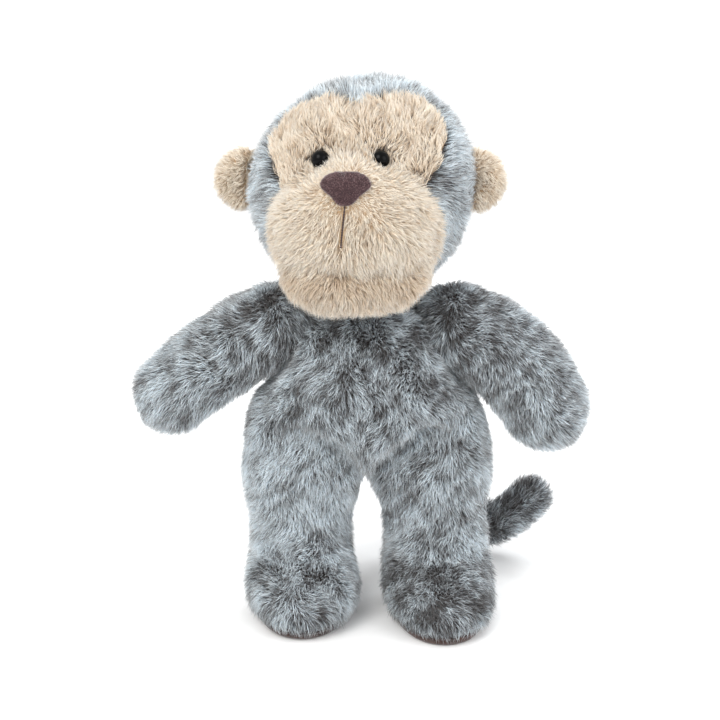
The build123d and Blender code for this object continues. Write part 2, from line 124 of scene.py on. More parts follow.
PHILTRUM_PARTING = 1.1 * MM  # no hair grows nearer to it than this
STITCHES = 7  # over the opening in the back
STITCH_PROBE = 20.0 * MM  # behind the stitches, from where the cloth is looked for
STITCH_RISE = 0.4 * MM  # over the cloth
STITCH_POINTS = 14
PRESSURE_FRAMES = 20
PRESSURE_CAP = 2.5 * MM  # the furthest that the stuffing pushes a panel out
SEAM_PULL = 1.3 * MM  # how far a seam is drawn in
FLOOR_CLEAR = 0.4 * MM
SHOULDER_BALL = 23.5 * MM
NECK_BALL = 27.0 * MM
TAIL_BALL = 15.5 * MM

VIEW_TARGET = Vector((-1.5, 0.0, 148.6)) * MM
VIEW_RISE = math.radians(12.0)
VIEW_DISTANCE = 750.0 * MM
VIEW_LENS = 63.56  # in mm, on a sensor this wide
VIEW_SENSOR = 36.0


def linked(name, data):
    """A new object in the scene that holds this data."""
    holder = bpy.data.objects.new(name, data)
    SCENE.collection.objects.link(holder)
    return holder


# ---- the camera ----
def make_camera():
    lens = bpy.data.cameras.new("camera")
    lens.lens = VIEW_LENS
    lens.sensor_width = VIEW_SENSOR
    camera = linked("camera", lens)
    back = Vector((0.0, -math.cos(VIEW_RISE), math.sin(VIEW_RISE)))
    camera.location = VIEW_TARGET + back * VIEW_DISTANCE
    camera.rotation_euler = (math.pi / 2 - VIEW_RISE, 0.0, 0.0)
    bpy.context.scene.camera = camera


make_camera()


# ---- materials ----
BUMP_STRENGTH = 0.6
KNIT_CELLS = 1400.0  # for each metre of cloth
KNIT_PATCHES = 90.0
THREAD_BANDS = 420.0
MATERIALS = {}


def colour(code):
    """A screen colour such as '5a534f' as the linear colour that a shader takes."""
    channels = [int(code[i:i + 2], 16) / 255 for i in (0, 2, 4)]
    return [c / 12.92 if c <= 0.04045 else ((c + 0.055) / 1.055) ** 2.4 for c in channels] + [1.0]


def new_material(name, **sockets):
    """A material with a Principled shader, and that shader, with constants set on its sockets."""
    material = MATERIALS[name] = bpy.data.materials.new(name)
    material.use_nodes = True
    shader = material.node_tree.nodes["Principled BSDF"]
    for socket, value in sockets.items():
        shader.inputs[socket.replace("_", " ")].default_value = value
    return material, shader


def feed(material, node, inputs):
    """Each input of the node is set to a value, or linked to another node's output."""
    for socket, source in inputs.items():
        if isinstance(source, bpy.types.NodeSocket):
            material.node_tree.links.new(source, node.inputs[socket])
        else:
            node.inputs[socket].default_value = source


def add_node(material, kind, output, inputs=None, **settings):
    """The output of a new node with these inputs and settings."""
    node = material.node_tree.nodes.new(kind)
    for name, value in settings.items():
        setattr(node, name, value)
    feed(material, node, inputs or {})
    return node.outputs[output]


def in_place(material):
    return add_node(material, "ShaderNodeTexCoord", "Object")


def ramp(material, value, stops):
    """A colour ramp on a value; stops are (place, colour code)."""
    node = material.node_tree.nodes.new("ShaderNodeValToRGB")
    band = node.color_ramp
    while len(band.elements) < len(stops):
        band.elements.new(0.5)
    for element, (place, code) in zip(band.elements, stops):
        element.position = place
        element.color = colour(code)
    feed(material, node, {"Fac": value})
    return node.outputs["Color"]


def mixed(material, share, first, second):
    inputs = {"Factor": share, "A": first, "B": second}
    return add_node(material, "ShaderNodeMix", "Result", inputs, data_type="RGBA")


def noise(material, scale, detail=4.0):
    """Noise through the object's own space; scale is in cells for each metre."""
    inputs = {"Vector": in_place(material), "Scale": scale, "Detail": detail}
    return add_node(material, "ShaderNodeTexNoise", "Fac", inputs)


def bumped(material, shader, height, distance):
    inputs = {"Strength": BUMP_STRENGTH, "Distance": distance, "Height": height}
    feed(material, shader, {"Normal": add_node(material, "ShaderNodeBump", "Normal", inputs)})


def pile_material(name, dark, pale):
    """Hair coloured along its length: v runs from root to tip, u from dark hairs to pale ones."""
    material, shader = new_material(name, Roughness=0.62, Sheen_Weight=0.35, Sheen_Roughness=0.5,
                                    Specular_IOR_Level=0.25)
    uv = add_node(material, "ShaderNodeUVMap", "UV", uv_map="OFBake")
    across, along = (add_node(material, "ShaderNodeSeparateXYZ", axis, {"Vector": uv}) for axis in "XY")
    hair = mixed(material, across, ramp(material, along, dark), ramp(material, along, pale))
    feed(material, shader, {"Base Color": hair})


def cloth_material(name, low, high):
    """The knitted backing that the pile grows from."""
    material, shader = new_material(name, Roughness=0.9)
    cells = noise(material, KNIT_CELLS, detail=2.0)
    patches = noise(material, KNIT_PATCHES)
    both = mixed(material, patches, ramp(material, cells, [(0.3, low), (0.7, high)]),
                 ramp(material, cells, [(0.3, high), (0.75, low)]))
    feed(material, shader, {"Base Color": both})
    bumped(material, shader, cells, 0.3 * MM)


def woven_material(name, low, high):
    """Plain lining cloth with crossed threads."""
    material, shader = new_material(name, Roughness=0.85)
    inputs = {"Vector": in_place(material), "Scale": THREAD_BANDS, "Distortion": 0.6}
    warp, weft = (add_node(material, "ShaderNodeTexWave", "Fac", inputs, wave_type="BANDS",
                           bands_direction=direction) for direction in "XZ")
    crossed = add_node(material, "ShaderNodeMath", 0, {0: warp, 1: weft}, operation="MULTIPLY")
    feed(material, shader, {"Base Color": ramp(material, crossed, [(0.1, low), (0.6, high)])})
    bumped(material, shader, crossed, 0.2 * MM)


def grained_material(name, low, high, scale, depth, detail=6.0, **sockets):
    """A colour that varies with fine grain, raised by the same grain."""
    material, shader = new_material(name, **sockets)
    grain = noise(material, scale, detail)
    feed(material, shader, {"Base Color": ramp(material, grain, [(0.3, low), (0.7, high)])})
    bumped(material, shader, grain, depth)


pile_material("grey_pile",
              dark=[(0.0, "1f1a18"), (0.5, "342e2b"), (0.8, "5e5a59"), (1.0, "99a3ab")],
              pale=[(0.0, "5b524e"), (0.2, "9c9ea0"), (0.4, "d2e0ea"), (0.7, "ecf7fd"),
                    (1.0, "fafdff")])
pile_material("beige_pile",
              dark=[(0.0, "a6896a"), (0.4, "c6ab8c"), (0.75, "e4d0b8"), (1.0, "f2e6d4")],
              pale=[(0.0, "d5ba98"), (0.25, "eedcc3"), (0.6, "fbf0de"), (1.0, "fffbf1")])
# The nose's pale hairs are partly the velour's own mixed fibres and partly painted sheen: paler colour
# standing in for its glints of light.
pile_material("nose_pile",
              dark=[(0.0, "2a191c"), (0.6, "412a2d"), (1.0, "59403f")],
              pale=[(0.0, "513539"), (0.6, "7a5a5c"), (1.0, "a88d8c")])
cloth_material("grey_cloth", "38312e", "4a4340")
cloth_material("beige_cloth", "a88c6c", "bfa585")
cloth_material("nose_cloth", "2b1a1d", "3a2428")
woven_material("lining", "3a3431", "57504c")
grained_material("stuffing", "d9dbda", "f6f7f6", 160.0, 1.5 * MM, detail=10.0, Roughness=0.95)
grained_material("eye_plastic", "030303", "080708", 60.0, 0.004 * MM, Roughness=0.2,
                 Specular_IOR_Level=0.1)
grained_material("washer_plastic", "e4e4e0", "f2f2ee", 300.0, 0.02 * MM, Roughness=0.4)
grained_material("sole_suede", "2a1b18", "4d3730", 420.0, 0.3 * MM, Roughness=0.9,
                 Sheen_Weight=0.3)
grained_material("dark_thread", "241719", "3b282a", 1500.0, 0.1 * MM, Roughness=0.6)
grained_material("seam_thread", "5d5551", "7c7470", 1500.0, 0.1 * MM, Roughness=0.7)
grained_material("sweep_paper", "f4f4f4", "fbfbfb", 40.0, 0.01 * MM, Roughness=0.95)


# ---- mesh helpers ----
def read(items, name, kind, width=1):
    """One attribute of all the items, in rows of the given width."""
    values = np.empty(len(items) * width, kind)
    items.foreach_get(name, values)
    return values.reshape(-1, width) if width > 1 else values


def arrays(mesh):
    """A mesh's points, its points' normals and its triangles."""
    mesh.calc_loop_triangles()
    return (read(mesh.vertices, "co", float, 3), read(mesh.vertex_normals, "vector", float, 3),
            read(mesh.loop_triangles, "vertices", int, 3))


def edge_pairs(mesh):
    return read(mesh.edges, "vertices", int, 2)


def values_of(mesh, name, kind):
    return read(mesh.attributes[name].data, "value", kind)


def unit(vectors):
    return vectors / np.maximum(np.linalg.norm(vectors, axis=-1, keepdims=True), 1e-12)


def tree_of(points, triangles):
    return BVHTree.FromPolygons(points.tolist(), triangles.tolist())


def finish_surface(mesh, material):
    mesh.materials.clear()
    mesh.materials.append(MATERIALS[material])
    mesh.shade_smooth()


def new_piece(name, mesh, material):
    piece = linked(name, mesh)
    finish_surface(mesh, material)
    return piece


def evaluated(piece):
    """A copy of the piece's mesh as its modifiers make it."""
    graph = bpy.context.evaluated_depsgraph_get()
    return bpy.data.meshes.new_from_object(piece.evaluated_get(graph))


def keep_largest_shell(mesh):
    form = bmesh.new()
    form.from_mesh(mesh)
    left, shells = set(form.verts), []
    while left:
        shell = [left.pop()]
        for vert in shell:
            fresh = {edge.other_vert(vert) for edge in vert.link_edges} & left
            left -= fresh
            shell.extend(fresh)
        shells.append(shell)
    shells.sort(key=len)
    for shell in shells[:-1]:
        bmesh.ops.delete(form, geom=shell, context="VERTS")
    form.to_mesh(mesh)
    form.free()


def remeshed(name, nodes, voxel):
    """One closed mesh over the named CAD nodes together."""
    points, triangles, count = [], [], 0
    for node in nodes:
        p, _, t = arrays(NODES[node].data)
        points.append(p)
        triangles.append(t + count)
        count += len(p)
    raw = bpy.data.meshes.new(name)
    raw.from_pydata(np.vstack(points).tolist(), [], np.vstack(triangles).tolist())
    holder = linked(name, raw)
    remesh = holder.modifiers.new("remesh", "REMESH")
    remesh.mode = "VOXEL"
    remesh.voxel_size = voxel
    mesh = evaluated(holder)
    bpy.data.objects.remove(holder)
    keep_largest_shell(mesh)
    return mesh


def relaxed(points, pairs, rounds, share=0.5):
    """The points, each moved towards the middle of its neighbours."""
    degree = np.bincount(pairs.ravel(), minlength=len(points))[:, None]
    for _ in range(rounds):
        total = np.zeros_like(points)
        np.add.at(total, pairs[:, 0], points[pairs[:, 1]])
        np.add.at(total, pairs[:, 1], points[pairs[:, 0]])
        points = points + share * (total / np.maximum(degree, 1) - points)
    return points


def set_points(mesh, points):
    mesh.vertices.foreach_set("co", points.astype(np.float32).ravel())
    mesh.update()


def soft_form(node, voxel):
    """A CAD node remeshed and smoothed, as a mesh, its points and its normals."""
    mesh = remeshed(node + "_form", [node], voxel)
    set_points(mesh, relaxed(arrays(mesh)[0], edge_pairs(mesh), 3))
    return mesh, *arrays(mesh)[:2]


# ---- cloth skins ----
CLOTH = {"quality": 4, "mass": 0.3, "tension_stiffness": 12, "compression_stiffness": 12,
         "bending_stiffness": 1.0, "use_pressure": True, "uniform_pressure_force": 4.0,
         "vertex_group_mass": "held"}
SKINS = {}


def nearest_panel(points, panels):
    """For each point, the number of the CAD panel that is nearest."""
    gaps = []
    for panel in panels:
        tree = tree_of(*arrays(NODES[panel].data)[::2])
        gaps.append([tree.find_nearest(p)[3] for p in points.tolist()])
    return np.argmin(np.array(gaps), axis=0)


def near_balls(points, balls, margin, reach=0.0):
    """1 within a margin of any of the joint balls, falling to 0 over the reach."""
    share = np.zeros(len(points))
    for pivot, radius in balls:
        gap = np.linalg.norm(points - np.array(pivot), axis=1) - radius - margin
        share = np.maximum(share, np.clip(1 - gap / max(reach, 1e-6), 0, 1))
    return share


def make_skin(name, panels, filling, sockets=(), balls=(), voxel=CLOTH_VOXEL, depth=PILE_DEPTH,
              swell=1.0, melt=(), melt_rounds=MELT_ROUNDS, deep=(), plump=(0, 0, 0)):
    """A closed skin under the pile of the named panels, and for each point the panel that it is in.

    sockets and balls are (pivot, radius): a socket goes in around another part's ball end and grows no
    pile, and both are drawn in less, so that the pile fills the joint. The seams between a panel
    named in melt and one that isn't are smoothed over, and the seam between the two panels of deep
    is drawn in further. plump is how far, in mm, the stuffing pushes out what faces that way.
    """
    mesh = remeshed(name, panels + filling, voxel)
    pairs = edge_pairs(mesh)
    set_points(mesh, relaxed(arrays(mesh)[0], pairs, 3))
    points, normals, triangles = arrays(mesh)
    label = nearest_panel(points, panels)
    if melt:
        melted = np.isin(label, [panels.index(panel) for panel in melt])
        across = melted[pairs[:, 0]] != melted[pairs[:, 1]]
        soft = np.zeros((len(points), 1))
        soft[pairs[across].ravel()] = 1.0
        soft = np.minimum(relaxed(soft, pairs, MELT_REACH) * MELT_REACH, 1.0)
        for _ in range(melt_rounds):
            points = points + soft * (relaxed(points, pairs, 1) - points)
        set_points(mesh, points)
        points, normals, triangles = arrays(mesh)

    inside = near_balls(points, sockets, SOCKET_GAP) > 0
    full = near_balls(points, list(sockets) + list(balls), SOCKET_GAP, FULL_REACH)
    own = tree_of(points, triangles)
    draw = np.empty(len(points))
    for i, (p, n) in enumerate(zip(points.tolist(), normals.tolist())):
        inward = Vector(n) * -1
        wall = own.ray_cast(Vector(p) + inward * TINY, inward, WALL_REACH)[3]
        most = depth + (FULL_DEPTH - depth) * full[i] if depth > FULL_DEPTH else depth
        draw[i] = most if wall is None else min(most, THIN_WALL * wall)
    draw[inside] = 0.0
    draw = relaxed(draw[:, None], pairs, 2)
    stuffed = np.maximum(normals @ (np.array(plump) * MM), 0.0)[:, None] * (1 - inside[:, None])
    points = relaxed(points + normals * (stuffed - draw), pairs, 2, 0.3)
    set_points(mesh, points)

    seam = np.zeros(len(points))
    crossed = label[pairs[:, 0]] != label[pairs[:, 1]]
    seam[pairs[crossed].ravel()] = 1.0
    if melt:
        seam[soft[:, 0] > 0.5] = 0.0
    if deep:
        crossed &= np.isin(label[pairs], [panels.index(panel) for panel in deep]).all(axis=1)
        seam[pairs[crossed].ravel()] = MOUTH_PULL
        seam = seam * np.clip(1.2 - np.abs(arrays(mesh)[1][:, 0]), 0, 1)
    SKINS[name] = {"mesh": mesh, "panels": panels, "label": label, "seam": seam, "inside": inside,
                   "pairs": pairs, "swell": swell}


def swell_skins():
    """Cloth under pressure, all skins at once: each seam holds, and the panels between them puff out."""
    holders = {}
    for name, skin in SKINS.items():
        holder = linked(name + "_cloth", skin["mesh"].copy())
        held = holder.vertex_groups.new(name="held")
        held.add(np.flatnonzero(skin["inside"]).tolist(), 0.9, "REPLACE")
        held.add(np.flatnonzero(skin["seam"]).tolist(), 1.0, "REPLACE")
        cloth = holder.modifiers.new("cloth", "CLOTH")
        for setting, value in CLOTH.items():
            setattr(cloth.settings, setting, value)
        cloth.settings.effector_weights.gravity = 0.0
        cloth.point_cache.frame_start = 1
        cloth.point_cache.frame_end = PRESSURE_FRAMES
        holders[name] = holder
    for step in range(1, PRESSURE_FRAMES + 1):
        SCENE.frame_set(step)
    for name, holder in holders.items():
        SKINS[name]["swollen"] = arrays(evaluated(holder))[0]
        bpy.data.objects.remove(holder)
    SCENE.frame_set(1)


def finish_skins():
    """Each skin puffed out between its seams, drawn in along them, and subdivided once."""
    for name, skin in SKINS.items():
        mesh, pairs = skin["mesh"], skin["pairs"]
        points = arrays(mesh)[0]
        if "swollen" in skin:
            move = skin["swollen"] - points
            far = np.linalg.norm(move, axis=1, keepdims=True)
            share = np.minimum(1.0, PRESSURE_CAP / np.maximum(far, 1e-9))
            points = points + move * share * skin["swell"]
        set_points(mesh, relaxed(points, pairs, 1))
        points, normals, _ = arrays(mesh)
        drawn = relaxed(skin["seam"][:, None], pairs, 2, 0.6)
        points = points - normals * drawn * SEAM_PULL * skin["swell"]
        points[:, 2] = np.maximum(points[:, 2], FLOOR_CLEAR)
        set_points(mesh, points)

        corners = read(mesh.loops, "vertex_index", int).reshape(-1, 4)
        faces = np.sort(skin["label"][corners], axis=1)[:, 1]
        mesh.attributes.new("panel", "INT", "FACE").data.foreach_set("value", faces.astype(np.int32))
        inside = mesh.attributes.new("inside", "FLOAT", "POINT")
        inside.data.foreach_set("value", skin["inside"].astype(np.float32))
        holder = linked(name, mesh)
        holder.modifiers.new("rounder", "SUBSURF").levels = 1
        skin["mesh"] = evaluated(holder)
        bpy.data.objects.remove(holder)


def skin_piece(skin_name, piece_name, panels, tone):
    """The faces of a skin that lie in some of its panels, closed where they were cut off, as a piece."""
    skin = SKINS[skin_name]
    wanted = np.isin(values_of(skin["mesh"], "panel", np.int32),
                     [skin["panels"].index(panel) for panel in panels])
    form = bmesh.new()
    form.from_mesh(skin["mesh"])
    form.faces.ensure_lookup_table()
    if not wanted.all():
        others = [face for face in form.faces if not wanted[face.index]]
        bmesh.ops.delete(form, geom=others, context="FACES")
        rims = [edge for edge in form.edges if edge.is_boundary]
        caps = bmesh.ops.holes_fill(form, edges=rims, sides=0)["faces"]
        bmesh.ops.triangulate(form, faces=caps)
    mesh = bpy.data.meshes.new(piece_name)
    form.to_mesh(mesh)
    form.free()
    piece = new_piece(piece_name, mesh, tone + "_cloth")
    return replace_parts(piece, *panels)


# ---- pile ----
COLUMNS = 24  # how many shades of hair a piece holds
ROOT_DEPTH = 0.4 * MM  # of a hair in its cloth
UNDERFUR = 0.86  # of the full length
LENGTH_SPREAD = (0.72, 1.08)
SWIRL_SPREAD = 0.28  # of one hair, in radians, as are the next ones
LEAN_SPREAD = 0.16
LEAN_LIMITS = (0.15, 1.35)
BEND_RISE = 0.35  # how much more upright a bent hair starts
BEND_FALL = 0.30  # and how much lower it ends
FALL_LIMIT = 1.45
MIDDLE_PULL = 0.35  # of a tuft's pull, on a hair's middle
HAIR_TAPER = (1.0, 0.78)
SHADE_SPREAD = 0.32  # of all the shades
# The mottling: sizes as shares of a coat's patches, strengths as shares of its mottle, and seeds.
PATCHES = [(1.0, 0.75, 31), (0.38, 0.95, 37), (0.17, 0.6, 43)]


def ripple(points, wavelength, seed):
    """A smooth seeded field between about -1 and 1."""
    rng = np.random.default_rng(seed)
    waves = 6
    directions = unit(rng.normal(size=(waves, 3))) * rng.uniform(0.7, 1.4, (waves, 1))
    phases = rng.uniform(0, 2 * math.pi, waves)
    return np.sin(points @ directions.T * (2 * math.pi / wavelength) + phases).sum(axis=1) / 2.4


def turned(vectors, axes, angles):
    """Each vector turned about its axis."""
    c, s = np.cos(angles)[:, None], np.sin(angles)[:, None]
    along = (vectors * axes).sum(axis=1, keepdims=True)
    return vectors * c + np.cross(axes, vectors) * s + axes * along * (1 - c)


def towards(lean, normal, heading):
    return np.cos(lean) * normal + np.sin(lean) * heading


def strand_template(rings):
    """Corner numbers, their places across and along, and face sizes, of one closed tapered hair."""
    sides = 3
    corners, places, sizes = [2, 1, 0], [(0.0, 0.0), (1.0, 0.0), (0.5, 0.03)], [3]
    for ring in range(rings):
        low, high = ring / rings, (ring + 1) / rings
        for side in range(sides):
            a, b = ring * sides + side, ring * sides + (side + 1) % sides
            if ring < rings - 1:
                corners += [a, b, b + sides, a + sides]
                places += [(0.0, low), (1.0, low), (1.0, high), (0.0, high)]
                sizes.append(4)
            else:
                corners += [a, b, rings * sides]
                places += [(0.0, low), (1.0, low), (0.5, 1.0)]
                sizes.append(3)
    return np.array(corners), np.array(places), np.array(sizes)


def hairs(stations, radii, columns, rng):
    """Points, corners, places and sizes of tapered hairs, whose stations run from root to tip."""
    rings = len(stations) - 1
    root, tip = stations[0], stations[-1]
    along = unit(tip - root)
    across = unit(np.cross(along, unit(rng.normal(size=root.shape))))
    beside = np.cross(along, across)
    layers = []
    for station, radius in zip(stations[:-1], radii):
        for turn in (0, 1, 2):
            angle = 2 * math.pi * turn / 3
            layers.append(station + radius * (math.cos(angle) * across + math.sin(angle) * beside))
    layers.append(tip)
    points = np.stack(layers, axis=1).reshape(-1, 3)
    corners, places, sizes = strand_template(rings)
    count = len(root)
    corners = (corners[None, :] + np.arange(count)[:, None] * (3 * rings + 1)).ravel()
    u = (columns[:, None] + 0.1 + 0.8 * places[None, :, 0]) / COLUMNS
    v = np.broadcast_to(0.01 + 0.98 * places[None, :, 1], u.shape)
    return points, corners, np.stack([u, v], axis=2).reshape(-1, 2), np.tile(sizes, count)


def mesh_of(name, parts):
    """One mesh of several sets of hairs."""
    mesh = bpy.data.meshes.new(name)
    points, corners, places, sizes = zip(*parts)
    counts = np.cumsum([0] + [len(part) for part in points])
    corners = np.concatenate([part + start for part, start in zip(corners, counts)])
    points, places, sizes = np.vstack(points), np.vstack(places), np.concatenate(sizes)
    mesh.vertices.add(len(points))
    set_points(mesh, points)
    mesh.loops.add(len(corners))
    mesh.loops.foreach_set("vertex_index", corners.astype(np.int32))
    mesh.polygons.add(len(sizes))
    starts = np.concatenate([[0], np.cumsum(sizes)[:-1]])
    mesh.polygons.foreach_set("loop_start", starts.astype(np.int32))
    mesh.update(calc_edges=True)
    mesh.uv_layers.new(name="OFBake").data.foreach_set("uv", places.astype(np.float32).ravel())
    return mesh


def sample(skin, panel, density, rng):
    """Points spread over one panel of a skin, with the cloth's normals there."""
    mesh = skin["mesh"]
    points, normals, triangles = arrays(mesh)
    faces = read(mesh.loop_triangles, "polygon_index", int)
    buried = values_of(mesh, "inside", np.float32)[triangles].min(axis=1) > 0.5
    triangles = triangles[(values_of(mesh, "panel", np.int32)[faces] == panel) & ~buried]
    a, b, c = (points[triangles[:, i]] for i in range(3))
    size = np.linalg.norm(np.cross(b - a, c - a), axis=1) / 2
    count = int(size.sum() * density)
    pick = np.searchsorted(np.cumsum(size) / size.sum(), (np.arange(count) + rng.random(count)) / count)
    pick = np.minimum(pick, len(size) - 1)
    u, v = rng.random((2, count, 1))
    u, v = np.where(u + v > 1, 1 - u, u), np.where(u + v > 1, 1 - v, v)
    corner = triangles[pick]
    place = a[pick] + u * (b[pick] - a[pick]) + v * (c[pick] - a[pick])
    normal = unit((1 - u - v) * normals[corner[:, 0]] + u * normals[corner[:, 1]]
                  + v * normals[corner[:, 2]])
    return place, normal


def clumped(tips, spacing, pull, rng):
    """The tips, drawn together in tufts."""
    heads = tips[rng.random(len(tips)) < 1.0 / max(spacing, 1.0)]
    if len(heads) < 2:
        return tips
    tree = KDTree(len(heads))
    for i, head in enumerate(heads.tolist()):
        tree.insert(head, i)
    tree.balance()
    nearest = np.array([tree.find(tip)[1] for tip in tips.tolist()])
    share = pull * rng.uniform(0.6, 1.0, (len(tips), 1))
    return tips + (heads[nearest] - tips) * share


def even(value):
    """The same value at every point."""
    return lambda p: np.full(len(p), value)


def grow(skin_name, panel, coat, flow, seed, tone, keep=even(True), tint=even(0.0),
         growth=even(1.0)):
    """The pile of one panel: short straight underfur, and longer bent hairs over it.

    keep tells which roots stay, growth is the share of the full length that is reached there, and tint
    is how much paler the pile is there.
    """
    skin = SKINS[skin_name]
    rng = np.random.default_rng(seed)
    parts = []
    for rings, density, length in ((1, coat["under"], coat["length"] * UNDERFUR),
                                   (2, coat["guard"], coat["length"])):
        root, normal = sample(skin, skin["panels"].index(panel), density, rng)
        stay = keep(root)
        root, normal = root[stay], normal[stay]
        heading = flow(root)
        heading = heading - (heading * normal).sum(axis=1, keepdims=True) * normal
        heading = unit(heading + 1e-6)
        swirl = coat["swirl"] * ripple(root, coat["swirl_size"], 11)
        heading = turned(heading, normal, swirl + rng.normal(0, SWIRL_SPREAD, len(root)))
        lean = coat["lean"] + coat["lean_change"] * ripple(root, coat["patch"], 23)
        lean = np.clip(lean + rng.normal(0, LEAN_SPREAD, len(root)), *LEAN_LIMITS)[:, None]
        length = length * rng.uniform(*LENGTH_SPREAD, (len(root), 1)) * growth(root)[:, None]
        root = root - normal * ROOT_DEPTH
        if rings == 1:
            tip = root + length * towards(lean, normal, heading)
            stations = [root, clumped(tip, coat["tuft"], coat["pull"], rng)]
        else:
            rise, fall = np.maximum(lean - BEND_RISE, 0.0), np.minimum(lean + BEND_FALL, FALL_LIMIT)
            middle = root + 0.5 * length * towards(rise, normal, heading)
            tip = middle + 0.5 * length * towards(fall, normal, heading)
            drawn = clumped(tip, coat["tuft"] / 2, coat["pull"], rng)
            stations = [root, middle + MIDDLE_PULL * (drawn - tip), drawn]
        for station in stations:
            station[:, 2] = np.maximum(station[:, 2], FLOOR_CLEAR)
        shade = 0.5 + tint(root)
        for size, share, octave in PATCHES:
            shade = shade + coat["mottle"] * share * ripple(root, coat["patch"] * size, octave)
        shade = shade + rng.normal(0, SHADE_SPREAD, len(root))
        columns = np.clip(shade * COLUMNS, 0, COLUMNS - 1).astype(int)
        radii = [coat["radius"] * share for share in HAIR_TAPER[:rings]]
        parts.append(hairs(stations, radii, columns, rng))
    name = panel.replace("_panel", "").replace("_cover", "").replace("_patch", "") + "_pile"
    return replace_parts(new_piece(name, mesh_of(name, parts), tone + "_pile"), panel)


def make_coat(**coat):
    """A kind of pile. Lengths in millimetres, leans in degrees, densities in hairs per square mm."""
    for name in ("length", "radius", "patch", "swirl_size"):
        coat[name] *= MM
    for name in ("lean", "lean_change", "swirl"):
        coat[name] = math.radians(coat[name])
    for name in ("under", "guard"):
        coat[name] /= MM ** 2
    return coat


GREY = make_coat(length=9.8, lean=42, lean_change=16, under=1.4, guard=0.48, radius=0.22, tuft=7,
                 pull=0.45, patch=24, swirl=30, swirl_size=40, mottle=0.24)
BODY = dict(GREY, under=1.8 / MM ** 2, guard=0.6 / MM ** 2)
BEIGE = make_coat(length=9.5, lean=50, lean_change=14, under=1.8, guard=0.7, radius=0.21, tuft=14,
                  pull=0.5, patch=18, swirl=20, swirl_size=28, mottle=0.18)
FACE = make_coat(length=9.0, lean=48, lean_change=18, under=1.9, guard=0.75, radius=0.2, tuft=17,
                 pull=0.6, patch=15, swirl=30, swirl_size=22, mottle=0.22)
EAR = make_coat(length=6.5, lean=46, lean_change=12, under=2.1, guard=0.85, radius=0.2, tuft=12,
                pull=0.55, patch=12, swirl=22, swirl_size=14, mottle=0.2)
FLOCK = make_coat(length=1.5, lean=35, lean_change=14, under=6.0, guard=0.0, radius=0.24, tuft=6,
                  pull=0.4, patch=5, swirl=40, swirl_size=6, mottle=0.25)


# ---- where each part is ----
def from_to(start, end, first, last):
    """A tint that runs from first, at the start point, to last, at the end point."""
    start, end = np.array(start), np.array(end)
    run = end - start
    return lambda p: first + (last - first) * np.clip((p - start) @ run / (run @ run), 0, 1)


def middle_of(node):
    low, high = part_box(node)
    return (low + high) / 2


def away_from(centre, lift=0.0):
    """A flow of hair outward from a point, drawn up or down by lift."""
    start = np.array(centre)
    return lambda p: unit(p - start) + lift * UP


def falling(p):
    return np.broadcast_to(-UP, p.shape) + 0.15 * unit(p * (1 - UP))


HIPS = {side: PIVOTS[side + "_hip_swing"] for side in SIDES}
SHOULDERS = {side: PIVOTS[side + "_shoulder_raise"] for side in SIDES}
NECK = PIVOTS["neck_turn"]
TAIL_ROOT = PIVOTS["tail_swing"]
NOSE = middle_of("nose")
EYES = [middle_of(side + "_eye") for side in SIDES]
# The tail runs through these points, from its root to its tip.
TAIL_ROUTE = np.array([(2, 38, 100), (6, 64, 84), (24, 75, 48), (56, 76, 19.5), (90, 75, 20),
                       (111.5, 73, 40), (116, 72, 50)]) * MM

TORSO_PANELS = ["torso_" + face + "_" + side + "_panel" for face in ("front", "back") for side in SIDES]
# How far the stuffing pushes out what faces left, back and up, in mm.
BODY_PLUMP = (1.0, 0, 0)
HEAD_PLUMP = (3.2, 0, 1.2)
ARM_PLUMP = {"left": (0, 0, -3.5), "right": (0, 0, -1.5)}
ARM_DEPTH = {"left": 2.4 * MM, "right": 4.0 * MM}
EAR_DEPTH = 2.5 * MM
EAR_SWELL = 0.4
# How much paler a pile is than its middle shade, over all of it or from its start to its end.
# The head's hair is painted paler all over: painted light, standing in for the bright light on the top
# and sides of the head.
HEAD_PAINTED_LIGHT = 0.16
# The muzzle's hair is its own pale cream under the nose and is painted darker towards the mouth: painted
# shade in the mouth's crease.
MUZZLE_PALE_AND_MOUTH_SHADE = (0.36, 0.02)
# The chin's hair is painted darker, most at the mouth and less towards the middle of the chin: painted
# shade in the mouth's crease and under the muzzle.
CHIN_PAINTED_SHADE = (-0.5, -0.1)
EAR_TINT = 0.34
TORSO_TINTS = (-0.06, 0.03)
ARM_TINTS = {"left": (-0.24, 0.04), "right": (-0.24, 0.13)}
FOOT_TINT = {"left": -0.28, "right": 0.0}
SHIN_TINT = {"left": 0.08, "right": 0.28}
CALF_TINT = 0.1
TAIL_TINT = -0.28
HEAD_PANELS = ["head_left_panel", "head_right_panel", "brow_patch"]
FACE_COVERS = ["muzzle_cover", "chin_cover"]
LEG_COVERS = {side: [side + "_leg_front_panel", side + "_leg_back_panel", side + "_foot_cover"]
              for side in SIDES}


def fade(values, none, full):
    """A share that grows from 0 to 1 as the values go from none to full."""
    return np.clip((values - none) / (full - none), 0, 1)


def drawn_in(points, middle, share):
    """The points, moved sideways by a share of their way to the middle."""
    return points + (share * (middle - points[:, 0]))[:, None] * ASIDE


def toes_ahead(points):
    """The points, with those of the left foot's toes moved ahead."""
    share = (fade(points[:, 2], TOES_TOP, 0) * fade(points[:, 1], 0, -TOES_FULL)
             * (points[:, 0] > HIPS["left"].x / 2))
    return points + share[:, None] * np.array([TOES_ASIDE, -TOES_AHEAD, 0])


def thighs_together(points):
    """The points, with the insides of the thighs drawn together towards the crotch."""
    middle = (HIPS["left"].x + HIPS["right"].x) / 2
    share = (fade(points[:, 2], THIGHS_LOW, THIGHS_HIGH) * (points[:, 2] < HIPS["left"].z)
             * fade(np.abs(points[:, 0] - middle), THIGHS_REACH, THIGHS_REACH / 2))
    return drawn_in(points, middle, THIGHS_PULL * share)


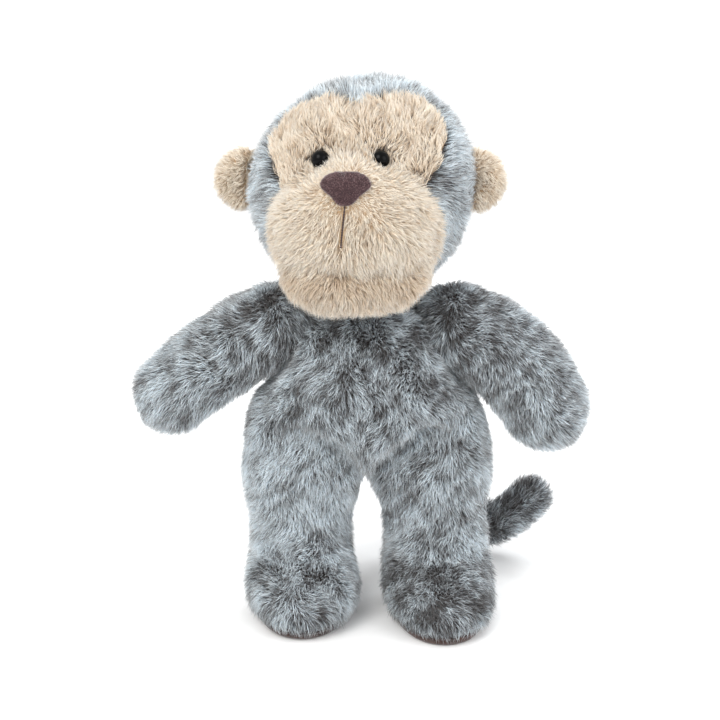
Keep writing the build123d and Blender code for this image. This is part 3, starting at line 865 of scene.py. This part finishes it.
def chin_tapered(points):
    low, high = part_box("chin_cover")
    depth = np.clip((high.z - points[:, 2]) / (high.z - low.z), 0, 1.2) ** CHIN_ROUND
    share = CHIN_TAPER * depth * fade(points[:, 1], NECK.y, NECK.y - CHIN_BEHIND)
    return drawn_in(points, (low.x + high.x) / 2, share)


def crown_aside(points):
    """The points, with the top of the head moved to the toy's left."""
    low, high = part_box("head_stuffing")
    share = (fade(points[:, 2], high.z - CROWN_HEIGHT, high.z)
             * fade(points[:, 1], low.y, low.y + CROWN_BEHIND))
    return points + CROWN_ASIDE * share[:, None] * ASIDE


def make_skins():
    legs = [cover for side in SIDES for cover in LEG_COVERS[side] + [side + "_foot_sole"]]
    make_skin("body", TORSO_PANELS + legs,
              ["torso_stuffing", "left_leg_stuffing", "right_leg_stuffing"],
              sockets=[(SHOULDERS[side], SHOULDER_BALL) for side in SIDES]
              + [(NECK, NECK_BALL), (TAIL_ROOT, TAIL_BALL)], melt=legs, plump=BODY_PLUMP)
    mesh = SKINS["body"]["mesh"]
    set_points(mesh, thighs_together(toes_ahead(arrays(mesh)[0])))
    make_skin("head", HEAD_PANELS + FACE_COVERS,
              ["head_stuffing", "muzzle_stuffing", "chin_stuffing", "mouth_seam_thread"],
              balls=[(NECK, NECK_BALL), (NOSE, NOSE_ROOM)], voxel=FINE_VOXEL,
              melt=["chin_cover"], melt_rounds=FACE_ROUNDS, deep=FACE_COVERS, plump=HEAD_PLUMP)
    mesh = SKINS["head"]["mesh"]
    set_points(mesh, crown_aside(chin_tapered(arrays(mesh)[0])))
    for side in SIDES:
        make_skin(side + "_arm", [side + "_arm_front_panel", side + "_arm_back_panel"],
                  [side + "_arm_stuffing"], balls=[(SHOULDERS[side], SHOULDER_BALL)],
                  depth=ARM_DEPTH[side], plump=ARM_PLUMP[side])
        make_skin(side + "_ear", [side + "_ear_front", side + "_ear_back"], [], voxel=EAR_VOXEL,
                  depth=EAR_DEPTH, swell=EAR_SWELL)
    make_skin("tail", ["tail_cover"], ["tail_stuffing"], balls=[(TAIL_ROOT, TAIL_BALL)],
              voxel=FINE_VOXEL)


def from_eyes(p):
    """For each eye, the offsets of the points from it, and how long they are."""
    offsets = [p - np.array(eye) for eye in EYES]
    return offsets, [np.linalg.norm(offset, axis=1, keepdims=True) for offset in offsets]


def clear_of_eyes(p):
    return np.minimum(*from_eyes(p)[1])[:, 0] > EYE_CLEAR


def away_from_eyes(p):
    """Outward from each eye, so that the hair parts between them and makes a lobe over each."""
    offsets, gaps = from_eyes(p)
    return sum(offset / gap ** 3 * np.clip((gap - EYE_LASH) / MM, -1, 1)
               for offset, gap in zip(offsets, gaps)) * MM ** 2 + 0.1 * UP


def brow_growth(p):
    """Shorter hair near the eyes."""
    return np.clip(0.45 + np.minimum(*from_eyes(p)[1])[:, 0] / BROW_REACH, 0.5, 1.1)


def muzzle_growth(p):
    """Shorter hair round the nose."""
    gap = np.linalg.norm(p - np.array(NOSE), axis=1) - NOSE_EDGE
    return np.clip(0.5 + gap / MUZZLE_REACH, 0.45, 1.05)


def philtrum_line():
    line = smooth_line(centres("philtrum_stitch", lambda p: p[:, 2], 6), 60)
    climb = unit(line[-1] - line[-2]) * PHILTRUM_REACH
    line = np.vstack([line, line[-1] + climb / 2, line[-1] + climb])
    line[:, 1] += PHILTRUM_SINK
    return line


def clear_of_thread(p):
    """Keeps the hair off the eyes and parts it along the thread under the nose."""
    line = philtrum_line()
    middle = np.interp(p[:, 2], line[:, 2], line[:, 0])
    beside = (p[:, 2] > line[0, 2]) & (p[:, 2] < line[-1, 2])
    return clear_of_eyes(p) & ~(beside & (np.abs(p[:, 0] - middle) < PHILTRUM_PARTING))


def make_head():
    pieces = [skin_piece("head", "head_plush", HEAD_PANELS, "grey")]
    face = NOSE + Vector((0, 0, 10)) * MM
    # The grey head hair gets painted light: it is paler, standing in for the light on the head's top and
    # sides.
    for number, side in enumerate(SIDES):
        pieces.append(grow("head", "head_" + side + "_panel", GREY, away_from(face, -0.15),
                           100 + number, "grey", tint=even(HEAD_PAINTED_LIGHT)))
    pieces.append(grow("head", "brow_patch", FACE, away_from_eyes, 110, "beige",
                       keep=clear_of_eyes, growth=brow_growth))
    mouth = middle_of("mouth_seam_thread")
    under_nose = NOSE - Vector((0, 0, 25)) * MM
    # Painted shade: the muzzle's hair grows darker towards the mouth, and the chin's hair is darkest at
    # the mouth, in the crease between them.
    for name, number, lift, growth, tint in (
            ("muzzle", 120, -0.1, muzzle_growth, from_to(under_nose, mouth, *MUZZLE_PALE_AND_MOUTH_SHADE)),
            ("chin", 121, -0.6, even(1.0), from_to(mouth, middle_of("chin_cover"), *CHIN_PAINTED_SHADE))):
        cover = name + "_cover"
        pieces.append(skin_piece("head", name + "_plush", [cover], "beige"))
        pieces.append(grow("head", cover, BEIGE, away_from(NOSE, lift), number, "beige",
                           keep=clear_of_thread, growth=growth, tint=tint))
    for side in SIDES:
        ear = side + "_ear"
        pieces.append(skin_piece(ear, ear + "_plush", SKINS[ear]["panels"], "beige"))
        for number, half in enumerate(SKINS[ear]["panels"]):
            parting = middle_of(half) + Vector((-EAR_PARTING * SIDES[side], 0, EAR_PARTING / 2))
            pieces.append(grow(ear, half, EAR, away_from(parting), 130 + number, "beige",
                               tint=even(EAR_TINT)))
    for piece in pieces:
        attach(piece, "head")


def make_torso():
    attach(skin_piece("body", "torso_plush", TORSO_PANELS, "grey"), "torso")
    for number, panel in enumerate(TORSO_PANELS):
        tint = from_to(NECK - Vector((0, 0, 20)) * MM, HIPS["left"], *TORSO_TINTS)
        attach(grow("body", panel, BODY, falling, 200 + number, "grey", tint=tint), "torso")


def make_arm(side, seed):
    arm = side + "_arm"
    panels = SKINS[arm]["panels"]
    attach(skin_piece(arm, arm + "_plush", panels, "grey"), arm)
    flow = away_from(SHOULDERS[side], -0.15)
    paw = middle_of(arm + "_stuffing") * 2 - SHOULDERS[side]
    tint = from_to(SHOULDERS[side], paw, *ARM_TINTS[side])
    for number, panel in enumerate(panels):
        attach(grow(arm, panel, BODY, flow, seed + number, "grey", tint=tint), arm)


def bend_at_hip(piece):
    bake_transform(piece)


def make_leg(side, seed):
    covers = LEG_COVERS[side]
    cloth = covers + [side + "_foot_sole"]
    bend_at_hip(skin_piece("body", side + "_leg_plush", cloth, "grey"))
    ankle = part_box(side + "_foot_cover")[1].z
    heel = Vector((HIPS[side].x, HEEL_BEHIND, ankle + HEEL_ABOVE))
    above = HIPS[side] + Vector((0, 0, FALL_ABOVE))
    flows = {"foot_cover": (away_from(heel, -0.3), FOOT_TINT[side]),
             "front_panel": (away_from(above), SHIN_TINT[side]),
             "back_panel": (falling, CALF_TINT)}
    for number, cover in enumerate(covers):
        flow, tint = flows[cover.replace(side + "_", "").replace("leg_", "")]
        bend_at_hip(grow("body", cover, BODY, flow, seed + number, "grey", tint=even(tint)))


def along_tail(p):
    """Towards the tip, along the run of the route that is nearest."""
    middles, runs = (TAIL_ROUTE[1:] + TAIL_ROUTE[:-1]) / 2, unit(TAIL_ROUTE[1:] - TAIL_ROUTE[:-1])
    nearest = np.linalg.norm(p[:, None, :] - middles[None], axis=2).argmin(axis=1)
    return runs[nearest]


def make_tail():
    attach(skin_piece("tail", "tail_plush", ["tail_cover"], "grey"), "tail")
    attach(grow("tail", "tail_cover", GREY, along_tail, 500, "grey", tint=even(TAIL_TINT)), "tail")


def make_nose():
    """A small flocked pad."""
    mesh = remeshed("nose_form", ["nose"], NOSE_VOXEL)
    points = arrays(mesh)[0]
    low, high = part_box("nose")
    shoulder = low.z + (high.z - low.z) * NOSE_SHOULDER
    points = drawn_in(points, NOSE.x, NOSE_TAPER * fade(points[:, 2], shoulder, low.z))
    points[:, 1] += NOSE_SINK
    set_points(mesh, relaxed(points, edge_pairs(mesh), 9))
    mesh.attributes.new("panel", "INT", "FACE")
    mesh.attributes.new("inside", "FLOAT", "POINT")
    SKINS["nose"] = {"mesh": mesh, "panels": ["nose"]}
    pad = skin_piece("nose", "nose_pad", ["nose"], "nose")
    flock = grow("nose", "nose", FLOCK, away_from(NOSE, -0.5), 600, "nose")
    for piece in (pad, flock):
        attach(piece, "head")


# ---- threads ----
SEWING = (0.5 * MM, 2.4 * MM)  # a thread's radius and the length of one turn of its two plies
PHILTRUM = (0.55 * MM, 2.6 * MM)
PLY_OFFSET = 0.5  # of the thread's radius
PLY_RADIUS = 0.55
PLY_SIDES = 6


def centres(node, key, count):
    """The middles of a CAD node's points, in count groups from the lowest key to the highest."""
    points = arrays(NODES[node].data)[0]
    keys = key(points)
    group = np.minimum(((keys - keys.min()) / np.ptp(keys) * count).astype(int), count - 1)
    return np.array([points[group == i].mean(axis=0) for i in range(count) if (group == i).any()])


def way_along(line):
    """How far along the line each of its points lies."""
    return np.concatenate([[0], np.cumsum(np.linalg.norm(np.diff(line, axis=0), axis=1))])


def smooth_line(points, count):
    """The line through the points, sampled again at even steps and rounded off."""
    along = way_along(points)
    line = np.stack([np.interp(np.linspace(0, along[-1], count), along, points[:, i])
                     for i in range(3)], axis=1)
    for _ in range(3):
        line[1:-1] = (line[:-2] + 2 * line[1:-1] + line[2:]) / 4
    return line


def thread(lines, radius, pitch):
    """Two plies twisted round each line, with closed ends, as one mesh."""
    form = bmesh.new()
    angles = [2 * math.pi * k / PLY_SIDES for k in range(PLY_SIDES)]
    for line in lines:
        tangent = unit(np.gradient(line, axis=0))
        across = unit(np.cross(tangent, np.array([0.31, 0.17, 0.93])))
        beside = np.cross(tangent, across)
        for ply in (0, math.pi):
            turn = (way_along(line) / pitch * 2 * math.pi + ply)[:, None]
            middle = line + radius * PLY_OFFSET * (np.cos(turn) * across + np.sin(turn) * beside)
            rings = [[form.verts.new(c + radius * PLY_RADIUS * (math.cos(t) * a + math.sin(t) * b))
                      for t in angles] for c, a, b in zip(middle, across, beside)]
            for low, high in zip(rings, rings[1:]):
                for k in range(PLY_SIDES):
                    after = (k + 1) % PLY_SIDES
                    form.faces.new((low[k], low[after], high[after], high[k]))
            form.faces.new(rings[0][::-1])
            form.faces.new(rings[-1])
    mesh = bpy.data.meshes.new("thread")
    form.to_mesh(mesh)
    form.free()
    return mesh


def sew(name, lines, size, material, node, body):
    piece = new_piece(name, thread(lines, *size), material)
    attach(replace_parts(piece, node), body)


def make_threads():
    sew("philtrum_thread", [philtrum_line()], PHILTRUM, "dark_thread", "philtrum_stitch", "head")

    ring = middle_of("mouth_seam_thread")
    mouth = centres("mouth_seam_thread", lambda p: np.arctan2(p[:, 0] - ring.x, ring.y - p[:, 1]), 24)
    mouth = smooth_line(mouth, 160)
    inward = np.array(ring) - mouth
    mouth = mouth + unit(inward * (1 - UP)) * MOUTH_SINK
    sew("mouth_thread", [mouth], SEWING, "seam_thread", "mouth_seam_thread", "head")

    back = tree_of(*arrays(SKINS["body"]["mesh"])[::2])
    low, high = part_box("back_closing_stitches")
    stitches = []
    for height in np.linspace(low.z, high.z, STITCHES):
        line = []
        for x in np.linspace(low.x, high.x, STITCH_POINTS):
            place = back.ray_cast(Vector((x, high.y + STITCH_PROBE, height)), Vector((0, -1, 0)))[0]
            line.append(np.array(place) + np.array([0.0, STITCH_RISE, 0.0]))
        stitches.append(np.array(line))
    sew("back_closing_thread", stitches, SEWING, "seam_thread", "back_closing_stitches", "torso")


# ---- stuffing, and the CAD nodes that show ----
def make_filling(node, body, hip=None):
    """Polyester fibre pressed into its skin: a lumpy form a little smaller than the space it fills."""
    mesh, points, normals = soft_form(node, FIBRE_VOXEL)
    lumps = FIBRE_INSET + FIBRE_LUMP * ripple(points, FIBRE_LUMP_SIZE, 41)
    set_points(mesh, points - normals * lumps[:, None])
    piece = new_piece(node.replace("stuffing", "fibre"), mesh, "stuffing")
    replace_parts(piece, node)
    if hip:
        bend_at_hip(piece)
    else:
        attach(piece, body)


def make_fillings():
    for part, body in (("head", "head"), ("muzzle", "head"), ("chin", "head"), ("torso", "torso"),
                       ("tail", "tail")):
        make_filling(part + "_stuffing", body)
    for side in SIDES:
        make_filling(side + "_arm_stuffing", side + "_arm")
        make_filling(side + "_leg_stuffing", side + "_leg", hip=side)


def dress_nodes():
    """The CAD nodes that show keep their shape and get their finished material."""
    looks = dict.fromkeys(("neck_head_lining", "neck_torso_lining", "tail_lining"), "lining")
    for side in SIDES:
        looks[side + "_eye"] = "eye_plastic"
        looks[side + "_eye_washer"] = "washer_plastic"
        looks[side + "_shoulder_lining"] = "lining"
    for node, material in looks.items():
        finish_surface(NODES[node].data, material)


def make_sole(side):
    """A suede sole with a rounded edge, drawn in where it is sewn to the foot."""
    node = side + "_foot_sole"
    mesh, points, normals = soft_form(node, SOLE_VOXEL)
    points = points - normals * np.array([SOLE_INSET, SOLE_INSET, 0.0])
    points[:, 2] = np.maximum(points[:, 2], FLOOR_CLEAR / 2)
    set_points(mesh, toes_ahead(points))
    piece = new_piece(side + "_sole", mesh, "sole_suede")
    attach(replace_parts(piece, node), side + "_leg")


# ---- the stage ----
LIGHT_AIM = Vector((0.0, 0.0, 0.14))
SKY_LIGHT = 1.05
BEND_STEPS = 12


def area_light(name, place, size, power, tone):
    lamp = bpy.data.lights.new(name, "AREA")
    lamp.shape = "DISK"
    lamp.size = size
    lamp.energy = power
    lamp.color = tone
    holder = linked(name, lamp)
    holder.location = place
    holder.rotation_euler = (LIGHT_AIM - Vector(place)).to_track_quat("-Z", "Y").to_euler()


def make_stage():
    """A white sweep: a floor that curves up into a wall far behind the object."""
    near, far, bend, height, half_width = -2.5, 1.6, 0.9, 2.6, 3.5
    profile = [(near, 0.0), (far, 0.0)]
    for step in range(1, BEND_STEPS + 1):
        angle = math.pi / 2 * step / BEND_STEPS
        profile.append((far + bend * math.sin(angle), bend * (1 - math.cos(angle))))
    profile.append((far + bend, height))
    points = [(x, y, z) for y, z in profile for x in (-half_width, half_width)]
    faces = [(2 * i, 2 * i + 1, 2 * i + 3, 2 * i + 2) for i in range(len(profile) - 1)]
    mesh = bpy.data.meshes.new("sweep")
    mesh.from_pydata(points, [], faces)
    finish_surface(mesh, "sweep_paper")
    linked("sweep", mesh)


def make_light():
    world = bpy.data.worlds.new("studio")
    SCENE.world = world
    world.use_nodes = True
    background = world.node_tree.nodes["Background"]
    background.inputs["Color"].default_value = (1.0, 1.0, 1.0, 1.0)
    background.inputs["Strength"].default_value = SKY_LIGHT
    area_light("key", (-0.7, -1.1, 1.25), 1.1, 18.0, (1.0, 0.99, 0.97))
    area_light("fill", (1.1, -0.9, 0.7), 1.2, 8.0, (0.97, 0.98, 1.0))
    area_light("rim", (0.5, 1.0, 1.1), 0.9, 10.0, (0.95, 0.98, 1.0))
    SCENE.view_settings.view_transform = "Standard"


make_skins()
swell_skins()
finish_skins()
make_head()
make_torso()
for number, side in enumerate(SIDES):
    make_arm(side, 300 + 10 * number)
    make_leg(side, 400 + 10 * number)
    make_sole(side)
make_tail()
make_nose()
make_threads()
make_fillings()
dress_nodes()
make_stage()
make_light()
